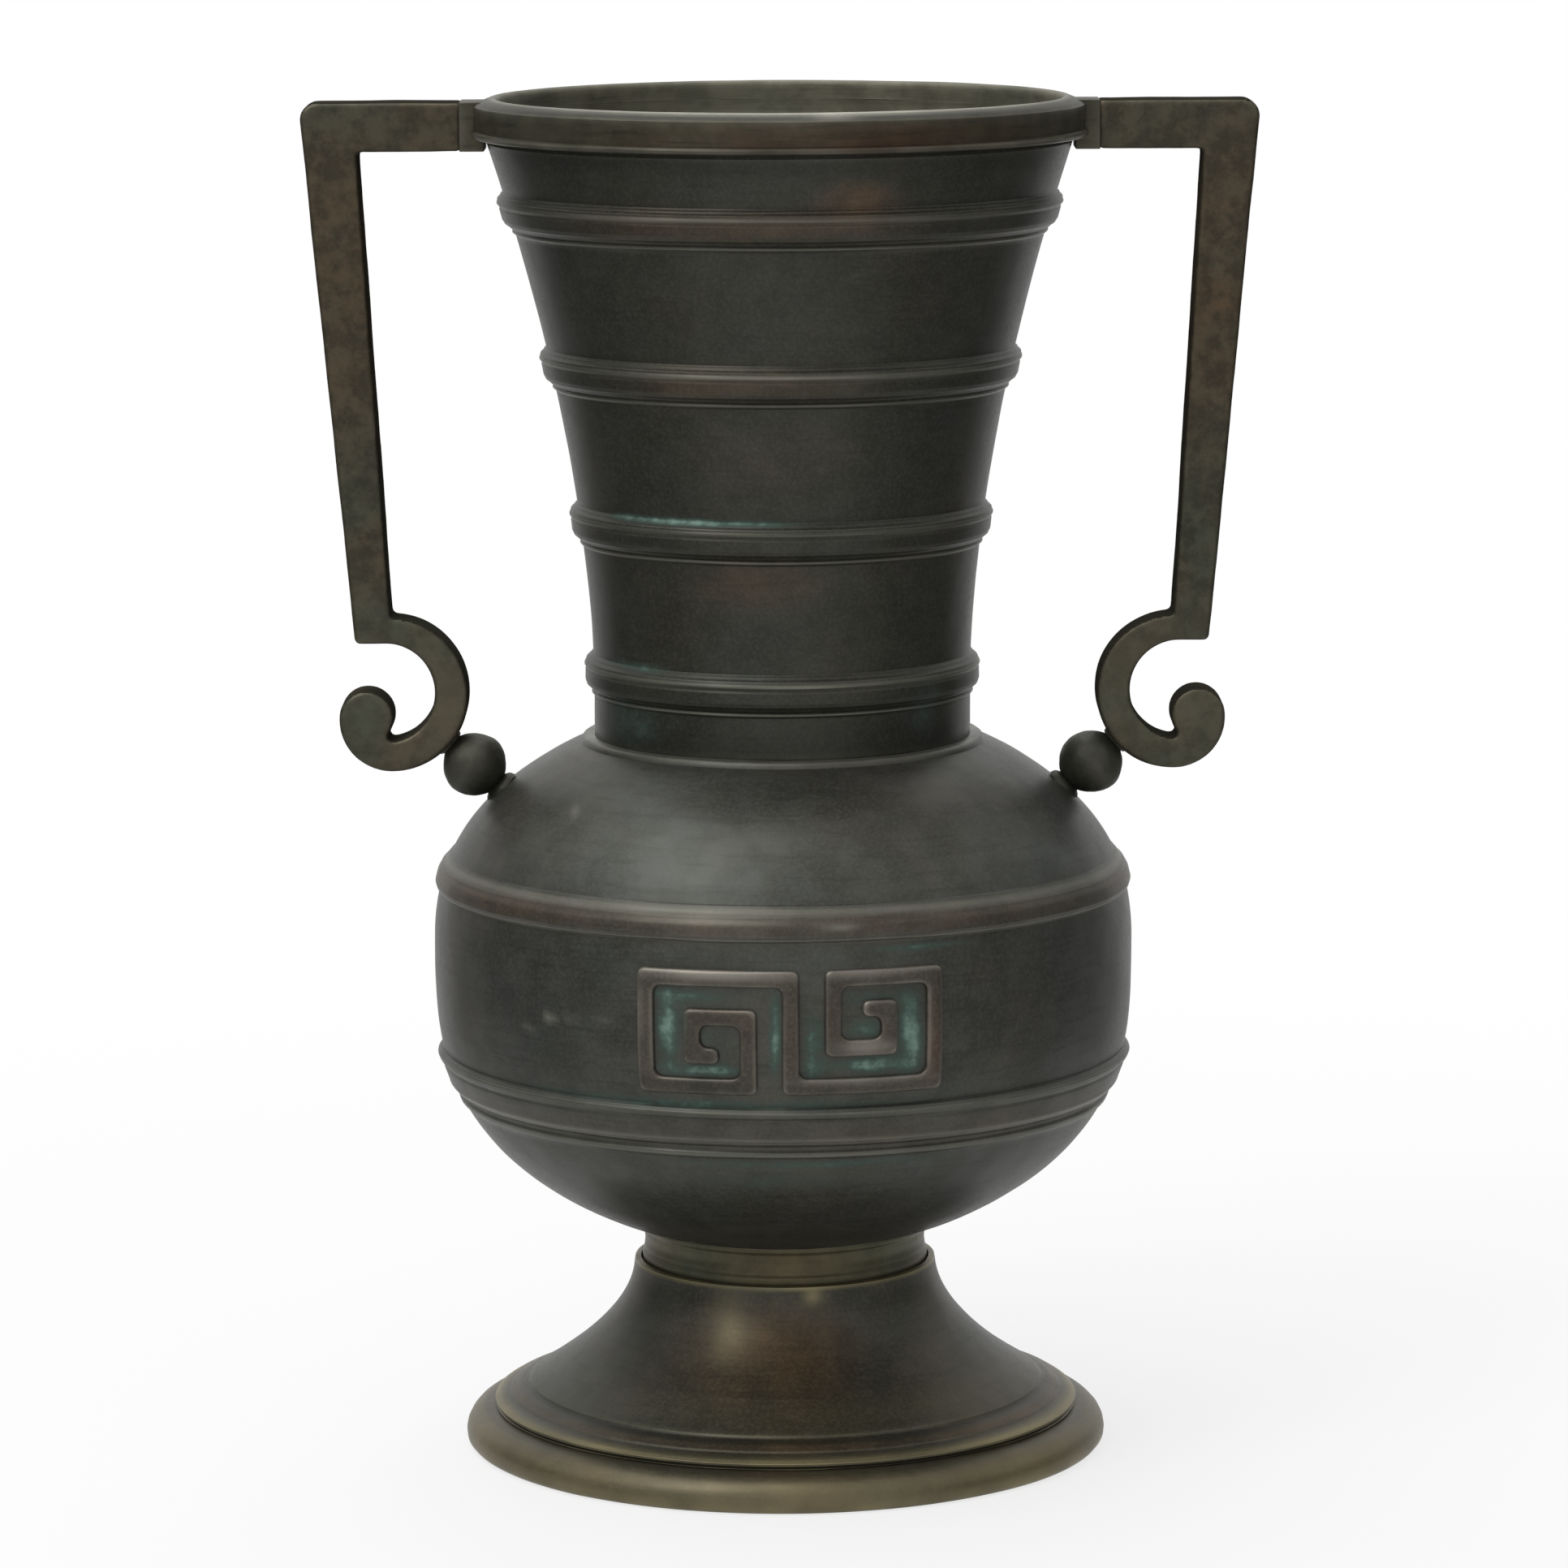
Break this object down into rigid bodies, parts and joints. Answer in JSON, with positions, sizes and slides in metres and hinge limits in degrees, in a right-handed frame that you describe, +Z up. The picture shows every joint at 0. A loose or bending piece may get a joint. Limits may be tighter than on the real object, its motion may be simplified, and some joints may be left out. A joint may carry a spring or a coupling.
{
  "type": "vase",
  "caption": "Footed bronze vase with a globular body, a flaring banded neck and square-barred scroll handles from rim to shoulder.",
  "frame": {"origin": "centre of the foot's resting ring, on the surface that the vase stands on", "axes": "+Z up the axis of turning, X through the two handles, front towards -Y"},
  "size_m": [0.1742, 0.131, 0.25],
  "materials": {
    "dark_bronze": "dark olive to black patina with a soft waxed sheen",
    "brown_bronze": "brown patina, rubbed lighter on the edges",
    "rubbed_bronze": "brown patina worn towards bare bronze at the base",
    "raw_bronze": "dull unpatinated casting skin, hidden in use"
  },
  "bodies": {
    "root": {"foot": "rubbed_bronze", "stem_collar": "brown_bronze", "body": "dark_bronze", "belly_floor": "raw_bronze", "neck": "dark_bronze", "mouth_rim": "brown_bronze", "left_handle": "brown_bronze", "right_handle": "brown_bronze", "left_bead": "dark_bronze", "right_bead": "dark_bronze", "left_stud": "raw_bronze", "right_stud": "raw_bronze", "left_rim_pin": "raw_bronze", "right_rim_pin": "raw_bronze"}
  },
  "joints": []
}
